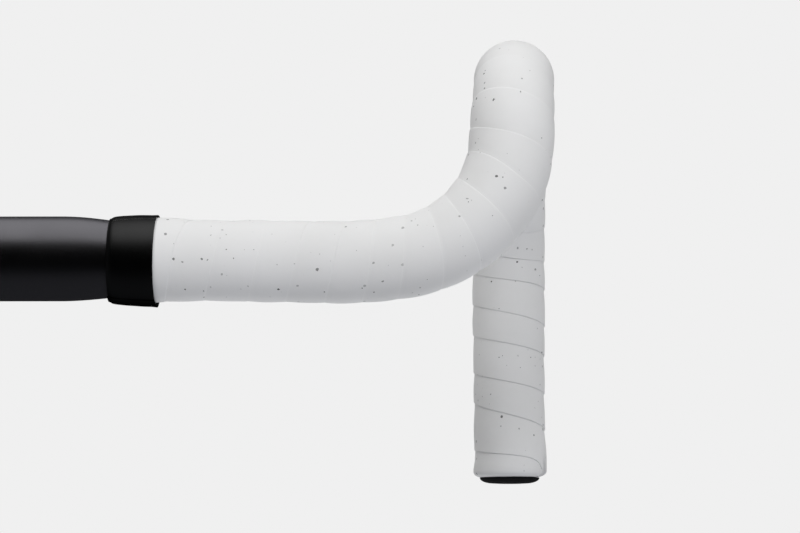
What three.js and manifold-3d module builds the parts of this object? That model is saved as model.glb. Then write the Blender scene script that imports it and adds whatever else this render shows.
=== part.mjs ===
// A taped drop handlebar for a road bicycle, with expanding bar-end plugs.
//
// Millimetres. The origin is the centre of the stem clamp, on the tube's axis. +X is to the rider's
// right along the tops, +Y is forwards and +Z is up. The bar is its own mirror image in X = 0, so
// everything at the side is built once for the right and again in a mirrored group for the left.
import * as THREE from "three";
import { mergeVertices } from "three/addons/utils/BufferGeometryUtils.js";
import Module from "manifold-3d";

const wasm = await Module();
wasm.setup();

// ---- Driving dimensions ----

// The tube's axis, right half: tops, ramp, hook and drop meet at corners, each rounded by a bend. Past the
// clamp the tops sweep back a little, and an easy bend leads them into the one to the ramp.
const SWEEP_CORNER_X = 51;
const SWEEP = 0.87; // degrees backwards
const SWEEP_RADIUS = 300;
const EASE_CORNER_X = 158.9;
const EASE_ADVANCE = 9.42; // degrees forwards past the easy bend
const EASE_RADIUS = 147;
const RAMP_CORNER_X = 210.6; // about half of the 420 mm width between the ramps
const TOP_BEND_RADIUS = 48.9;
const RAMP_FLARE = 3.2; // degrees outwards on the way forwards
const RAMP_FALL = 1.64; // degrees down on the way forwards
const HOOK_CORNER_Y = 88.6; // the front corner of ramp and hook, before it is rounded
const HOOK_TOP_RADIUS = 34;
const HOOK_LEAN = 11; // degrees that the front of the hook leans back on the way down
const HOOK_FLARE = 0.74; // degrees outwards on the way down
const DROP = 124.3; // height of the tops' axis above the hook's lower corner
const HOOK_BOTTOM_RADIUS = 60;
const DROP_FALL = 10; // degrees down on the way back to the bar's end
const END_Y = -54.2; // where the taped end stands, behind the tops

// The tube: thick in the clamp, tapered to the grip diameter along the tops.
const CLAMP_RADIUS = 15.9;
const GRIP_RADIUS = 11.9;
const TAPER_START = 44; // from the bar's centre
const TAPER_END = 90;
const TAPER_RINGS = 5;
const CLAMP_WALL = 2.2;
const GRIP_WALL = 1.7;

// The bar tape, wound from the bar's end towards the clamp, and tucked into the bar's end.
const TAPE_START = 64; // its inner end, from the bar's centre
const TAPE_RADIUS = 15.4;
const TAPE_RADIUS_AT_BAND = 15.9;
const TAPE_RADIUS_UNDER_BAND = 15.3;
const TAPE_SETTLES_AT = 112; // from here outwards the wraps have their even radius
const FOLD = 2.8; // how far the folded tape stands out past the tube's end
const TUCK_DEPTH = 12;
const TUCK_OUTER_RADIUS = 9.9;
const TUCK_INNER_RADIUS = 7.4;

// The finishing band, stretched over the tape's inner end and the bare tube beside it.
const BAND_START = 61;
const BAND_END = 79.4;
const BAND_STEP = 2.5; // along the bar, from the tube's level up to the tape's level
const BAND_THICKNESS = 0.55;

// The bar-end plug, measured along its own axis from the tube's end face, positive outwards.
const FLANGE_RADIUS = 12.6;
const FLANGE_SEAT = 3.1;
const FLANGE_EDGE = 4.2;
const FLANGE_FACE = 5.4;
const FLAT_RADIUS = 10.6; // the flat part of the outer face
const SPIGOT_RADIUS = 7.1;
const SPIGOT_END = -9;
const RECESS_RADIUS = 3.9; // the pocket that the screw's head sits in
const RECESS_FLOOR = 2.6;
const SCREW_HOLE_RADIUS = 2.3;
const SCREW_HEAD_RADIUS = 3.4;
const SCREW_HEAD_HEIGHT = 2;
const SCREW_SHANK_RADIUS = 1.95;
const SCREW_TIP = -31;
const SOCKET_ACROSS_FLATS = 2.5;
const SOCKET_DEPTH = 1.2;
const SLEEVE_START = -9.3;
const SLEEVE_END = -25.3;
const SLEEVE_BORE_RADIUS = 4.2;
const SLEEVE_MOUTH_START = -17;
const SLEEVE_MOUTH_RADIUS = 6.3;
const SLOT_WIDTH = 1.8;
const SLOT_LENGTH = 11;
const SLOT_COUNT = 4;
const NUT_NOSE = -18;
const NUT_SHOULDER = -26;
const NUT_END = -29;
const NUT_RADIUS = 6.8;
const KEY_WIDTH = 1.2; // two keys on the nut stand in the sleeve's slots and keep it from turning

const GAP = 0.3; // between pieces that touch
const RING_SIDES = 20; // sides of the long bent pieces
const TURNED_SIDES = 24; // sides of the plug's turned pieces
const BEND_STEP = 15; // degrees of bend between two rings

// ---- The tube's axis ----

const radians = THREE.MathUtils.degToRad;
const slope = (degrees) => Math.tan(radians(degrees));

// A circular bend that leaves `start` along `heading` and turns towards `inwards` by `angle`.
class Bend extends THREE.Curve {
  constructor(start, heading, inwards, radius, angle) {
    super();
    Object.assign(this, { heading, inwards, radius, angle });
    this.centre = start.clone().addScaledVector(inwards, radius);
  }

  getPoint(t, target = new THREE.Vector3()) {
    const turned = t * this.angle;
    return target
      .copy(this.centre)
      .addScaledVector(this.heading, this.radius * Math.sin(turned))
      .addScaledVector(this.inwards, -this.radius * Math.cos(turned));
  }

  getTangent(t, target = new THREE.Vector3()) {
    const turned = t * this.angle;
    return target
      .copy(this.heading)
      .multiplyScalar(Math.cos(turned))
      .addScaledVector(this.inwards, Math.sin(turned));
  }
}

// Straight runs between the points, with a bend of its radius rounding each corner.
function bentPath(start, corners, end) {
  const path = new THREE.CurvePath();
  let from = start;
  corners.forEach(({ point, radius }, i) => {
    const next = corners[i + 1]?.point ?? end;
    const arriving = point.clone().sub(from).normalize();
    const leaving = next.clone().sub(point).normalize();
    const angle = arriving.angleTo(leaving);
    const setback = radius * Math.tan(angle / 2);
    const bendStart = point.clone().addScaledVector(arriving, -setback);
    const inwards = leaving.clone().addScaledVector(arriving, -leaving.dot(arriving)).normalize();
    path.add(new THREE.LineCurve3(from, bendStart));
    path.add(new Bend(bendStart, arriving, inwards, radius, angle));
    from = point.clone().addScaledVector(leaving, setback);
  });
  path.add(new THREE.LineCurve3(from, end));
  return path;
}

const sweepCorner = new THREE.Vector3(SWEEP_CORNER_X, 0, 0);
const easeCorner = new THREE.Vector3(EASE_CORNER_X, (SWEEP_CORNER_X - EASE_CORNER_X) * slope(SWEEP), 0);
const rampCorner = new THREE.Vector3(
  RAMP_CORNER_X,
  easeCorner.y + (RAMP_CORNER_X - EASE_CORNER_X) * slope(EASE_ADVANCE),
  0,
);
const rampLength = HOOK_CORNER_Y - rampCorner.y;
const hookTop = new THREE.Vector3(
  RAMP_CORNER_X + rampLength * slope(RAMP_FLARE),
  HOOK_CORNER_Y,
  -rampLength * slope(RAMP_FALL),
);
const hookHeight = hookTop.z + DROP;
const hookBottom = new THREE.Vector3(
  hookTop.x + hookHeight * slope(HOOK_FLARE),
  hookTop.y - hookHeight * slope(HOOK_LEAN),
  -DROP,
);
const tapedEnd = new THREE.Vector3(hookBottom.x, END_Y, -DROP - (hookBottom.y - END_Y) * slope(DROP_FALL));

const axis = bentPath(
  new THREE.Vector3(),
  [
    { point: sweepCorner, radius: SWEEP_RADIUS },
    { point: easeCorner, radius: EASE_RADIUS },
    { point: rampCorner, radius: TOP_BEND_RADIUS },
    { point: hookTop, radius: HOOK_TOP_RADIUS },
    { point: hookBottom, radius: HOOK_BOTTOM_RADIUS },
  ],
  tapedEnd,
);
const TUBE_END = axis.getLength() - FOLD; // from the bar's centre, along the axis

// The point, the direction and two cross directions of the axis at a distance from the bar's centre.
// The cross directions turn only as the tube bends, so nothing swept along it twists.
function frameAt(distance) {
  const up = new THREE.Vector3(0, 0, 1);
  let left = distance;
  for (const [i, piece] of axis.curves.entries()) {
    const length = piece.getLength();
    const last = i === axis.curves.length - 1;
    const t = last ? left / length : Math.min(left / length, 1);
    const heading = piece.getTangent(Math.min(t, 1));
    up.applyQuaternion(new THREE.Quaternion().setFromUnitVectors(piece.getTangent(0), heading));
    if (left <= length || last) {
      const point = piece.getPoint(Math.min(t, 1)).addScaledVector(heading, Math.max(0, left - length));
      return { point, heading, up, across: up.clone().cross(heading) };
    }
    left -= length;
  }
}

// ---- Shapes ----

// Distances from the bar's centre at which a bent piece needs a ring: its ends, where bends start and
// stop, and every few degrees of bend.
function ringsBetween(from, to) {
  const rings = [from, to];
  let begin = 0;
  for (const piece of axis.curves) {
    const length = piece.getLength();
    const steps = piece instanceof Bend ? Math.ceil(piece.angle / radians(BEND_STEP)) : 1;
    for (let i = 0; i <= steps; i++) rings.push(begin + (length * i) / steps);
    begin += length;
  }
  for (let i = 0; i <= TAPER_RINGS; i++) {
    rings.push(THREE.MathUtils.lerp(TAPER_START, TAPER_END, i / TAPER_RINGS));
  }
  const inside = rings.filter((s) => s >= from && s <= to).sort((a, b) => a - b);
  return inside.filter((s, i) => i === 0 || s - inside[i - 1] > 0.5);
}

// Turns a profile of [radius, distance] points around the tube's axis, and bends it along that axis.
// A negative distance lies on the left half, which mirrors the right one.
function bentLathe(profile) {
  const closed = [...profile, profile[0]].map(([radius, distance]) => new THREE.Vector2(radius, distance));
  const geometry = new THREE.LatheGeometry(closed, RING_SIDES);
  const position = geometry.attributes.position;
  const placed = new THREE.Vector3();
  for (let i = 0; i < position.count; i++) {
    const distance = position.getY(i);
    const { point, up, across } = frameAt(Math.abs(distance));
    placed.copy(point).addScaledVector(up, position.getX(i)).addScaledVector(across, position.getZ(i));
    if (distance < 0) placed.x = -placed.x;
    position.setXYZ(i, placed.x, placed.y, placed.z);
  }
  geometry.computeVertexNormals();
  return geometry;
}

// A turned piece of the plug: a closed profile of [radius, distance] points around its own axis.
function turned(profile) {
  const points = [...profile, profile[0]].map(([radius, distance]) => new THREE.Vector2(radius, distance));
  return new THREE.LatheGeometry(points, TURNED_SIDES);
}

// A three.js geometry as a solid that can be cut and joined, and back again.
function solid(geometry) {
  const bare = geometry.index ? geometry.toNonIndexed() : geometry.clone();
  bare.deleteAttribute("normal");
  bare.deleteAttribute("uv");
  const merged = mergeVertices(bare, 1e-3);
  return new wasm.Manifold(
    new wasm.Mesh({
      numProp: 3,
      vertProperties: merged.attributes.position.array,
      triVerts: new Uint32Array(merged.index.array),
    }),
  );
}

function geometryOf(made) {
  const { vertProperties, triVerts } = made.getMesh();
  const geometry = new THREE.BufferGeometry();
  geometry.setAttribute("position", new THREE.BufferAttribute(new Float32Array(vertProperties), 3));
  geometry.setIndex(new THREE.BufferAttribute(new Uint32Array(triVerts), 1));
  geometry.computeVertexNormals();
  return geometry;
}

// ---- Bar tube ----

// 1 at the clamp's diameter, 0 at the grip's, and a smooth taper between.
const clampShare = (distance) => 1 - THREE.MathUtils.smoothstep(Math.abs(distance), TAPER_START, TAPER_END);
const tubeRadius = (distance) => THREE.MathUtils.lerp(GRIP_RADIUS, CLAMP_RADIUS, clampShare(distance));
const tubeWall = (distance) => THREE.MathUtils.lerp(GRIP_WALL, CLAMP_WALL, clampShare(distance));

function barTube() {
  const right = ringsBetween(0, TUBE_END).filter((s) => s > 0);
  const all = [...right.map((s) => -s).reverse(), ...right];
  const outside = all.map((s) => [tubeRadius(s), s]);
  const inside = all.map((s) => [tubeRadius(s) - tubeWall(s), s]).reverse();
  return bentLathe([...outside, ...inside]);
}

// ---- Bar tape and finishing band ----

function tapeRadius(distance) {
  const { mapLinear } = THREE.MathUtils;
  return distance < BAND_END
    ? mapLinear(distance, TAPE_START, BAND_END, TAPE_RADIUS_UNDER_BAND, TAPE_RADIUS_AT_BAND)
    : mapLinear(Math.min(distance, TAPE_SETTLES_AT), BAND_END, TAPE_SETTLES_AT, TAPE_RADIUS_AT_BAND, TAPE_RADIUS);
}

function barTape() {
  const rings = ringsBetween(TAPE_START, TUBE_END - 2);
  const outside = [...rings, BAND_END, TAPE_SETTLES_AT].sort((a, b) => a - b).map((s) => [tapeRadius(s), s]);
  const fold = [
    [TAPE_RADIUS - 0.8, TUBE_END + FOLD - 1.2],
    [TAPE_RADIUS - 2.6, TUBE_END + FOLD],
    [TUCK_INNER_RADIUS + 1, TUBE_END + FOLD],
    [TUCK_INNER_RADIUS, TUBE_END + FOLD - 1.3],
  ];
  const tuck = [
    [TUCK_INNER_RADIUS, TUBE_END - TUCK_DEPTH],
    [TUCK_OUTER_RADIUS, TUBE_END - TUCK_DEPTH],
    [TUCK_OUTER_RADIUS, TUBE_END + GAP],
    [GRIP_RADIUS + GAP, TUBE_END + GAP],
  ];
  const inside = rings.map((s) => [tubeRadius(s) + GAP, s]).reverse();
  return bentLathe([...outside, ...fold, ...tuck, ...inside]);
}

function finishingBand() {
  const step = BAND_START + BAND_STEP;
  const inside = [
    [tubeRadius(BAND_START) + GAP, BAND_START],
    [tapeRadius(TAPE_START) + GAP, step],
    [tapeRadius(BAND_END) + GAP, BAND_END],
  ];
  const outside = inside.map(([radius, s]) => [radius + BAND_THICKNESS, s]);
  return bentLathe([...outside, ...inside.reverse()]);
}

// ---- Bar-end plug ----

function plugCap() {
  return turned([
    [SCREW_HOLE_RADIUS, SPIGOT_END],
    [SPIGOT_RADIUS, SPIGOT_END],
    [SPIGOT_RADIUS, FLANGE_SEAT],
    [FLANGE_RADIUS, FLANGE_SEAT],
    [FLANGE_RADIUS, FLANGE_EDGE],
    [FLANGE_RADIUS - 0.6, FLANGE_EDGE + 0.8],
    [FLAT_RADIUS, FLANGE_FACE],
    [RECESS_RADIUS, FLANGE_FACE],
    [RECESS_RADIUS, RECESS_FLOOR],
    [SCREW_HOLE_RADIUS, RECESS_FLOOR],
  ]);
}

function plugScrew() {
  const headBase = RECESS_FLOOR + GAP;
  const headTop = headBase + SCREW_HEAD_HEIGHT;
  const blank = turned([
    [0, SCREW_TIP],
    [SCREW_SHANK_RADIUS - 0.4, SCREW_TIP],
    [SCREW_SHANK_RADIUS, SCREW_TIP + 0.6],
    [SCREW_SHANK_RADIUS, headBase],
    [SCREW_HEAD_RADIUS, headBase],
    [SCREW_HEAD_RADIUS, headTop - 0.4],
    [SCREW_HEAD_RADIUS - 0.4, headTop],
    [0, headTop],
  ]);
  const cornerRadius = SOCKET_ACROSS_FLATS / 2 / Math.cos(Math.PI / 6);
  const socket = new THREE.CylinderGeometry(cornerRadius, cornerRadius, 2 * SOCKET_DEPTH, 6);
  socket.translate(0, headTop, 0);
  return geometryOf(solid(blank).subtract(solid(socket)));
}

function expanderSleeve() {
  const blank = turned([
    [SLEEVE_MOUTH_RADIUS, SLEEVE_END],
    [SPIGOT_RADIUS, SLEEVE_END],
    [SPIGOT_RADIUS, SLEEVE_START],
    [SLEEVE_BORE_RADIUS, SLEEVE_START],
    [SLEEVE_BORE_RADIUS, SLEEVE_MOUTH_START],
  ]);
  let sleeve = solid(blank);
  for (let i = 0; i < SLOT_COUNT / 2; i++) {
    // One bar across the whole sleeve cuts two opposite slots.
    const cutter = new THREE.BoxGeometry(4 * SPIGOT_RADIUS, 2 * SLOT_LENGTH, SLOT_WIDTH);
    cutter.rotateY((i * 2 * Math.PI) / SLOT_COUNT);
    cutter.translate(0, SLEEVE_END, 0);
    sleeve = sleeve.subtract(solid(cutter));
  }
  return geometryOf(sleeve);
}

function wedgeNut() {
  // The nut's cone runs beside the sleeve's, one gap inside it.
  const taper = (SLEEVE_MOUTH_RADIUS - SLEEVE_BORE_RADIUS) / (SLEEVE_MOUTH_START - SLEEVE_END);
  const coneRadius = (s) => SLEEVE_BORE_RADIUS - GAP + taper * (SLEEVE_MOUTH_START - s);
  const cone = turned([
    [SCREW_HOLE_RADIUS, NUT_END],
    [NUT_RADIUS, NUT_END],
    [NUT_RADIUS, NUT_SHOULDER],
    [coneRadius(NUT_SHOULDER), NUT_SHOULDER],
    [coneRadius(NUT_NOSE), NUT_NOSE],
    [SCREW_HOLE_RADIUS, NUT_NOSE],
  ]);
  const keyLength = NUT_NOSE - NUT_SHOULDER;
  const keys = new THREE.BoxGeometry(2 * NUT_RADIUS - 0.2, keyLength, KEY_WIDTH);
  keys.translate(0, NUT_SHOULDER + keyLength / 2, 0);
  const bore = new THREE.CylinderGeometry(SCREW_HOLE_RADIUS, SCREW_HOLE_RADIUS, 2 * keyLength, TURNED_SIDES);
  bore.translate(0, NUT_SHOULDER + keyLength / 2, 0);
  return geometryOf(solid(cone).add(solid(keys).subtract(solid(bore))));
}

// ---- Materials ----

const blackAnodised = new THREE.MeshStandardMaterial({ color: 0x17171a, roughness: 0.28, metalness: 0.7 });
const whiteFoam = new THREE.MeshStandardMaterial({ color: 0xe4e4e2, roughness: 0.72, metalness: 0 });
const blackVinyl = new THREE.MeshStandardMaterial({ color: 0x121213, roughness: 0.42, metalness: 0 });
const blackNylon = new THREE.MeshStandardMaterial({ color: 0x141414, roughness: 0.5, metalness: 0 });
const greyNylon = new THREE.MeshStandardMaterial({ color: 0x3a3a3c, roughness: 0.55, metalness: 0 });
const steel = new THREE.MeshStandardMaterial({ color: 0x9a9a9c, roughness: 0.35, metalness: 1 });

// ---- Assembly ----

function part(name, geometry, material) {
  const mesh = new THREE.Mesh(geometry, material);
  mesh.name = name;
  return mesh;
}

function endPlug(side) {
  const plug = new THREE.Group();
  const { point, heading } = frameAt(TUBE_END);
  plug.position.copy(point);
  plug.quaternion.setFromUnitVectors(new THREE.Vector3(0, 1, 0), heading);
  plug.add(part(`plug_cap_${side}`, plugCap(), blackNylon));
  plug.add(part(`plug_screw_${side}`, plugScrew(), steel));
  plug.add(part(`expander_sleeve_${side}`, expanderSleeve(), greyNylon));
  plug.add(part(`wedge_nut_${side}`, wedgeNut(), greyNylon));
  return plug;
}

function sideOf(side) {
  const group = new THREE.Group();
  group.add(part(`bar_tape_${side}`, barTape(), whiteFoam));
  group.add(part(`finishing_band_${side}`, finishingBand(), blackVinyl));
  group.add(endPlug(side));
  return group;
}

const handlebar = new THREE.Group();
handlebar.name = "drop_handlebar";
handlebar.add(part("bar_tube", barTube(), blackAnodised));
handlebar.add(sideOf("right"));
const leftSide = sideOf("left");
leftSide.scale.x = -1;
handlebar.add(leftSide);

export default handlebar;
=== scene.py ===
"""A taped drop handlebar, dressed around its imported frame. Metres and radians throughout."""

import math

import bmesh
import bpy
import numpy as np
from mathutils import Matrix, Vector, noise


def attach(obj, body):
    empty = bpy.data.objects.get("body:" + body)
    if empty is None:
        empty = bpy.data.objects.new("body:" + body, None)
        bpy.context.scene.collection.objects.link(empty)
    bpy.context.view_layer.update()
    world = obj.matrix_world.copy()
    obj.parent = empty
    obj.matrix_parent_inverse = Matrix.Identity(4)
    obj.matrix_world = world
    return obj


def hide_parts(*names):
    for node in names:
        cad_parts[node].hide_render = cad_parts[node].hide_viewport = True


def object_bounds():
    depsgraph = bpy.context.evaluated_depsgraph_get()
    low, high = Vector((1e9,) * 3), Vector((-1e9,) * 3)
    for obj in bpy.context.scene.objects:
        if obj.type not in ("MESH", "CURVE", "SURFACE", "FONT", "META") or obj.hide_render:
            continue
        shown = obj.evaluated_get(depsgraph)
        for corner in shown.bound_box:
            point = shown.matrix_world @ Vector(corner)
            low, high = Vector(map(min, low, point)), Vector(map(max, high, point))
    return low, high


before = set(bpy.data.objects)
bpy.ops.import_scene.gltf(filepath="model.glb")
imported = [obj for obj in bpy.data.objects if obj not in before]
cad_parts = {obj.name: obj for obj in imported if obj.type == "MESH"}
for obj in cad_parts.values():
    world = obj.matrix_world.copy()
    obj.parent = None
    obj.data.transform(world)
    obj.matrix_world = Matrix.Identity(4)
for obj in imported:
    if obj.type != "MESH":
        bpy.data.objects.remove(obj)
cad_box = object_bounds()

MM = 0.001
TURN = 2 * math.pi

# ---- The bar's axis, with the same driving dimensions as the CAD ----

SWEEP_CORNER_X = 51 * MM
SWEEP = math.radians(0.87)
SWEEP_RADIUS = 300 * MM
EASE_CORNER_X = 158.9 * MM
EASE_ADVANCE = math.radians(9.42)
EASE_RADIUS = 147 * MM
RAMP_CORNER_X = 210.6 * MM
TOP_BEND_RADIUS = 48.9 * MM
RAMP_FLARE = math.radians(3.2)
RAMP_FALL = math.radians(1.64)
HOOK_CORNER_Y = 88.6 * MM
HOOK_TOP_RADIUS = 34 * MM
HOOK_LEAN = math.radians(11)
HOOK_FLARE = math.radians(0.74)
DROP = 124.3 * MM
HOOK_BOTTOM_RADIUS = 60 * MM
DROP_FALL = math.radians(10)
END_Y = -54.2 * MM
FOLD = 2.8 * MM  # from the tube's end to the taped end

CLAMP_RADIUS = 15.9 * MM
GRIP_RADIUS = 11.9 * MM
TAPER_START = 44 * MM
TAPER_END = 90 * MM
CLAMP_WALL = 2.2 * MM
GRIP_WALL = 1.7 * MM

PATH_STEP = 0.5 * MM
PAST_END = 30 * MM  # the axis is carried on straight this far past the taped end


def path_corners():
    """The axis's corners before they are rounded, each with its bend's radius, and the taped end."""
    sweep = np.array([SWEEP_CORNER_X, 0, 0])
    ease = np.array([EASE_CORNER_X, (SWEEP_CORNER_X - EASE_CORNER_X) * math.tan(SWEEP), 0])
    advance = (RAMP_CORNER_X - EASE_CORNER_X) * math.tan(EASE_ADVANCE)
    ramp = np.array([RAMP_CORNER_X, ease[1] + advance, 0])
    length = HOOK_CORNER_Y - ramp[1]
    top = np.array([
        RAMP_CORNER_X + length * math.tan(RAMP_FLARE),
        HOOK_CORNER_Y,
        -length * math.tan(RAMP_FALL),
    ])
    height = top[2] + DROP
    bottom = np.array([
        top[0] + height * math.tan(HOOK_FLARE),
        top[1] - height * math.tan(HOOK_LEAN),
        -DROP,
    ])
    end = np.array([bottom[0], END_Y, -DROP - (bottom[1] - END_Y) * math.tan(DROP_FALL)])
    corners = [
        (sweep, SWEEP_RADIUS),
        (ease, EASE_RADIUS),
        (ramp, TOP_BEND_RADIUS),
        (top, HOOK_TOP_RADIUS),
        (bottom, HOOK_BOTTOM_RADIUS),
    ]
    return corners, end


def unit(v):
    return v / np.linalg.norm(v)


def path_table():
    """The right half's axis as distances, points, headings and up directions, and its length."""
    corners, end = path_corners()
    at, up = np.zeros(3), np.array([0.0, 0.0, 1.0])
    distance, rows = 0.0, []

    def straight(start, heading, length, up):
        for t in np.arange(0, length, PATH_STEP):
            rows.append((distance + t, start + heading * t, heading, up))

    for i, (corner, radius) in enumerate(corners):
        following = corners[i + 1][0] if i + 1 < len(corners) else end
        arriving, leaving = unit(corner - at), unit(following - corner)
        angle = math.acos(arriving @ leaving)
        setback = radius * math.tan(angle / 2)
        inwards = unit(leaving - arriving * (leaving @ arriving))
        bend_start = corner - arriving * setback
        straight(at, arriving, np.linalg.norm(bend_start - at), up)
        distance += np.linalg.norm(bend_start - at)
        centre = bend_start + inwards * radius
        side = np.cross(arriving, inwards)
        up_in, up_side = up @ inwards, up @ side
        for t in np.arange(0, angle, PATH_STEP / radius):
            heading = arriving * math.cos(t) + inwards * math.sin(t)
            outwards = arriving * math.sin(t) - inwards * math.cos(t)
            turned_up = -outwards * up_in + side * up_side
            rows.append((distance + radius * t, centre + outwards * radius, heading, turned_up))
        distance += radius * angle
        outwards = arriving * math.sin(angle) - inwards * math.cos(angle)
        up = -outwards * up_in + side * up_side
        at = corner + leaving * setback
    last = unit(end - at)
    taped_end = distance + np.linalg.norm(end - at)
    straight(at, last, np.linalg.norm(end - at) + PAST_END, up)
    table = [np.array(column) for column in zip(*rows)]
    return table, taped_end


(PATH_S, PATH_POINT, PATH_HEADING, PATH_UP), TAPED_END = path_table()
TUBE_END = TAPED_END - FOLD
PATH_ACROSS = np.cross(PATH_UP, PATH_HEADING)


def sample(table, s):
    """Points or directions along the path, at the distances s."""
    s = np.asarray(s, float)
    return np.stack([np.interp(s, PATH_S, table[:, k]) for k in range(3)], -1)


def around(s, radius, angle, side):
    """Points at a distance along the bar, a radius from its axis and an angle from up towards forwards."""
    s, radius, angle = np.broadcast_arrays(np.asarray(s, float), radius, angle)
    up, across = sample(PATH_UP, s), sample(PATH_ACROSS, s)
    out = up * np.cos(angle)[..., None] + across * np.sin(angle)[..., None]
    points = sample(PATH_POINT, s) + out * radius[..., None]
    points[..., 0] *= side
    return points


def smooth(value, low, high):
    """Rises from 0 at low to 1 at high, level at both."""
    t = np.clip((np.asarray(value, float) - low) / (high - low), 0, 1)
    return t * t * (3 - 2 * t)


def mix(a, b, t):
    return a + (b - a) * t


def tube_radius(s):
    return mix(CLAMP_RADIUS, GRIP_RADIUS, smooth(np.abs(s), TAPER_START, TAPER_END))


def tube_wall(s):
    return mix(CLAMP_WALL, GRIP_WALL, smooth(np.abs(s), TAPER_START, TAPER_END))


# ---- Mesh helpers ----

def mesh_object(name, points, faces, sharp=40):
    """A smooth-shaded mesh object whose edges steeper than sharp degrees stay crisp."""
    mesh = bpy.data.meshes.new(name)
    mesh.from_pydata([tuple(p) for p in points], [], [tuple(f) for f in faces])
    work = bmesh.new()
    work.from_mesh(mesh)
    bmesh.ops.recalc_face_normals(work, faces=work.faces)
    work.to_mesh(mesh)
    work.free()
    mesh.polygons.foreach_set("use_smooth", [True] * len(mesh.polygons))
    mesh.set_sharp_from_angle(angle=math.radians(sharp))
    made = bpy.data.objects.new(name, mesh)
    bpy.context.scene.collection.objects.link(made)
    return made


def swept_faces(rows, columns, wrap_rows=False):
    """Quads between closed rings of points. The end rings are joined, or each is closed by a cap."""
    i, j = np.meshgrid(np.arange(rows if wrap_rows else rows - 1), np.arange(columns), indexing="ij")
    a = i * columns + j
    b = i * columns + (j + 1) % columns
    c = ((i + 1) % rows) * columns + (j + 1) % columns
    d = ((i + 1) % rows) * columns + j
    faces = np.stack([a, b, c, d], -1).reshape(-1, 4).tolist()
    if not wrap_rows:
        faces.append(list(range(columns))[::-1])
        faces.append([(rows - 1) * columns + k for k in range(columns)])
    return faces


def dress(piece, body, node, material):
    """The piece stands for a CAD node, moves with its body and takes its slot's finish."""
    piece.data.materials.append(material)
    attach(piece, body)
    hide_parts(node)


# ---- Material helpers ----

class Nodes:
    """A material's node tree, with short calls for adding and wiring nodes."""

    def __init__(self, name):
        self.material = bpy.data.materials.new(name)
        self.material.use_nodes = True
        self.tree = self.material.node_tree
        self.shader = self.tree.nodes["Principled BSDF"]

    def add(self, kind, inputs=None, **settings):
        node = self.tree.nodes.new(kind)
        for key, value in settings.items():
            setattr(node, key, value)
        for key, value in (inputs or {}).items():
            if isinstance(value, bpy.types.NodeSocket):
                self.tree.links.new(value, node.inputs[key])
            else:
                node.inputs[key].default_value = value
        return node

    def maths(self, operation, a, b, clamp=False):
        return self.add("ShaderNodeMath", {0: a, 1: b}, operation=operation, use_clamp=clamp).outputs[0]

    def coordinates(self):
        return self.add("ShaderNodeTexCoord").outputs["Object"]

    def noise(self, scale, detail, roughness=0.5, vector=None):
        inputs = {"Scale": scale, "Detail": detail, "Roughness": roughness}
        inputs["Vector"] = vector or self.coordinates()
        return self.add("ShaderNodeTexNoise", inputs).outputs["Fac"]

    def remap(self, value, from_low, from_high, to_low, to_high):
        inputs = {"Value": value, "From Min": from_low, "From Max": from_high}
        inputs.update({"To Min": to_low, "To Max": to_high})
        return self.add("ShaderNodeMapRange", inputs).outputs["Result"]

    def blend(self, factor, a, b):
        mixer = self.add("ShaderNodeMix", data_type="RGBA")
        for socket, value in ((mixer.inputs[0], factor), (mixer.inputs[6], a), (mixer.inputs[7], b)):
            if isinstance(value, bpy.types.NodeSocket):
                self.tree.links.new(value, socket)
            else:
                socket.default_value = value
        return mixer.outputs[2]

    def attribute(self, name):
        return self.add("ShaderNodeAttribute", attribute_name=name).outputs["Fac"]

    def bump(self, height, distance, strength, normal=None):
        inputs = {"Height": height, "Distance": distance, "Strength": strength}
        if normal is not None:
            inputs["Normal"] = normal
        return self.add("ShaderNodeBump", inputs).outputs["Normal"]

    def set(self, **sockets):
        names = {
            "colour": "Base Color", "rough": "Roughness", "metal": "Metallic", "normal": "Normal",
            "specular": "Specular IOR Level", "ior": "IOR", "tint": "Specular Tint",
        }
        for key, value in sockets.items():
            socket = self.shader.inputs[names[key]]
            if isinstance(value, bpy.types.NodeSocket):
                self.tree.links.new(value, socket)
            else:
                socket.default_value = value
        return self.material


WHITE = (1.0, 1.0, 1.0)
COOL = (0.97, 1.0, 1.09)
VIOLET = (0.95, 0.93, 1.0)


def grey(value, tint=WHITE):
    return (value * tint[0], value * tint[1], value * tint[2], 1.0)


# ---- Materials ----

FLECK_CELL = 3.5 * MM  # one fleck in each cell of this size
FLECK_RADIUS = 0.45 * MM
FLECK_SIZE = FLECK_RADIUS / FLECK_CELL  # a middling fleck's radius, as a share of its cell
FLECK_WOBBLE = 0.9 * MM  # how far a fleck's outline is bent out of round


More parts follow.
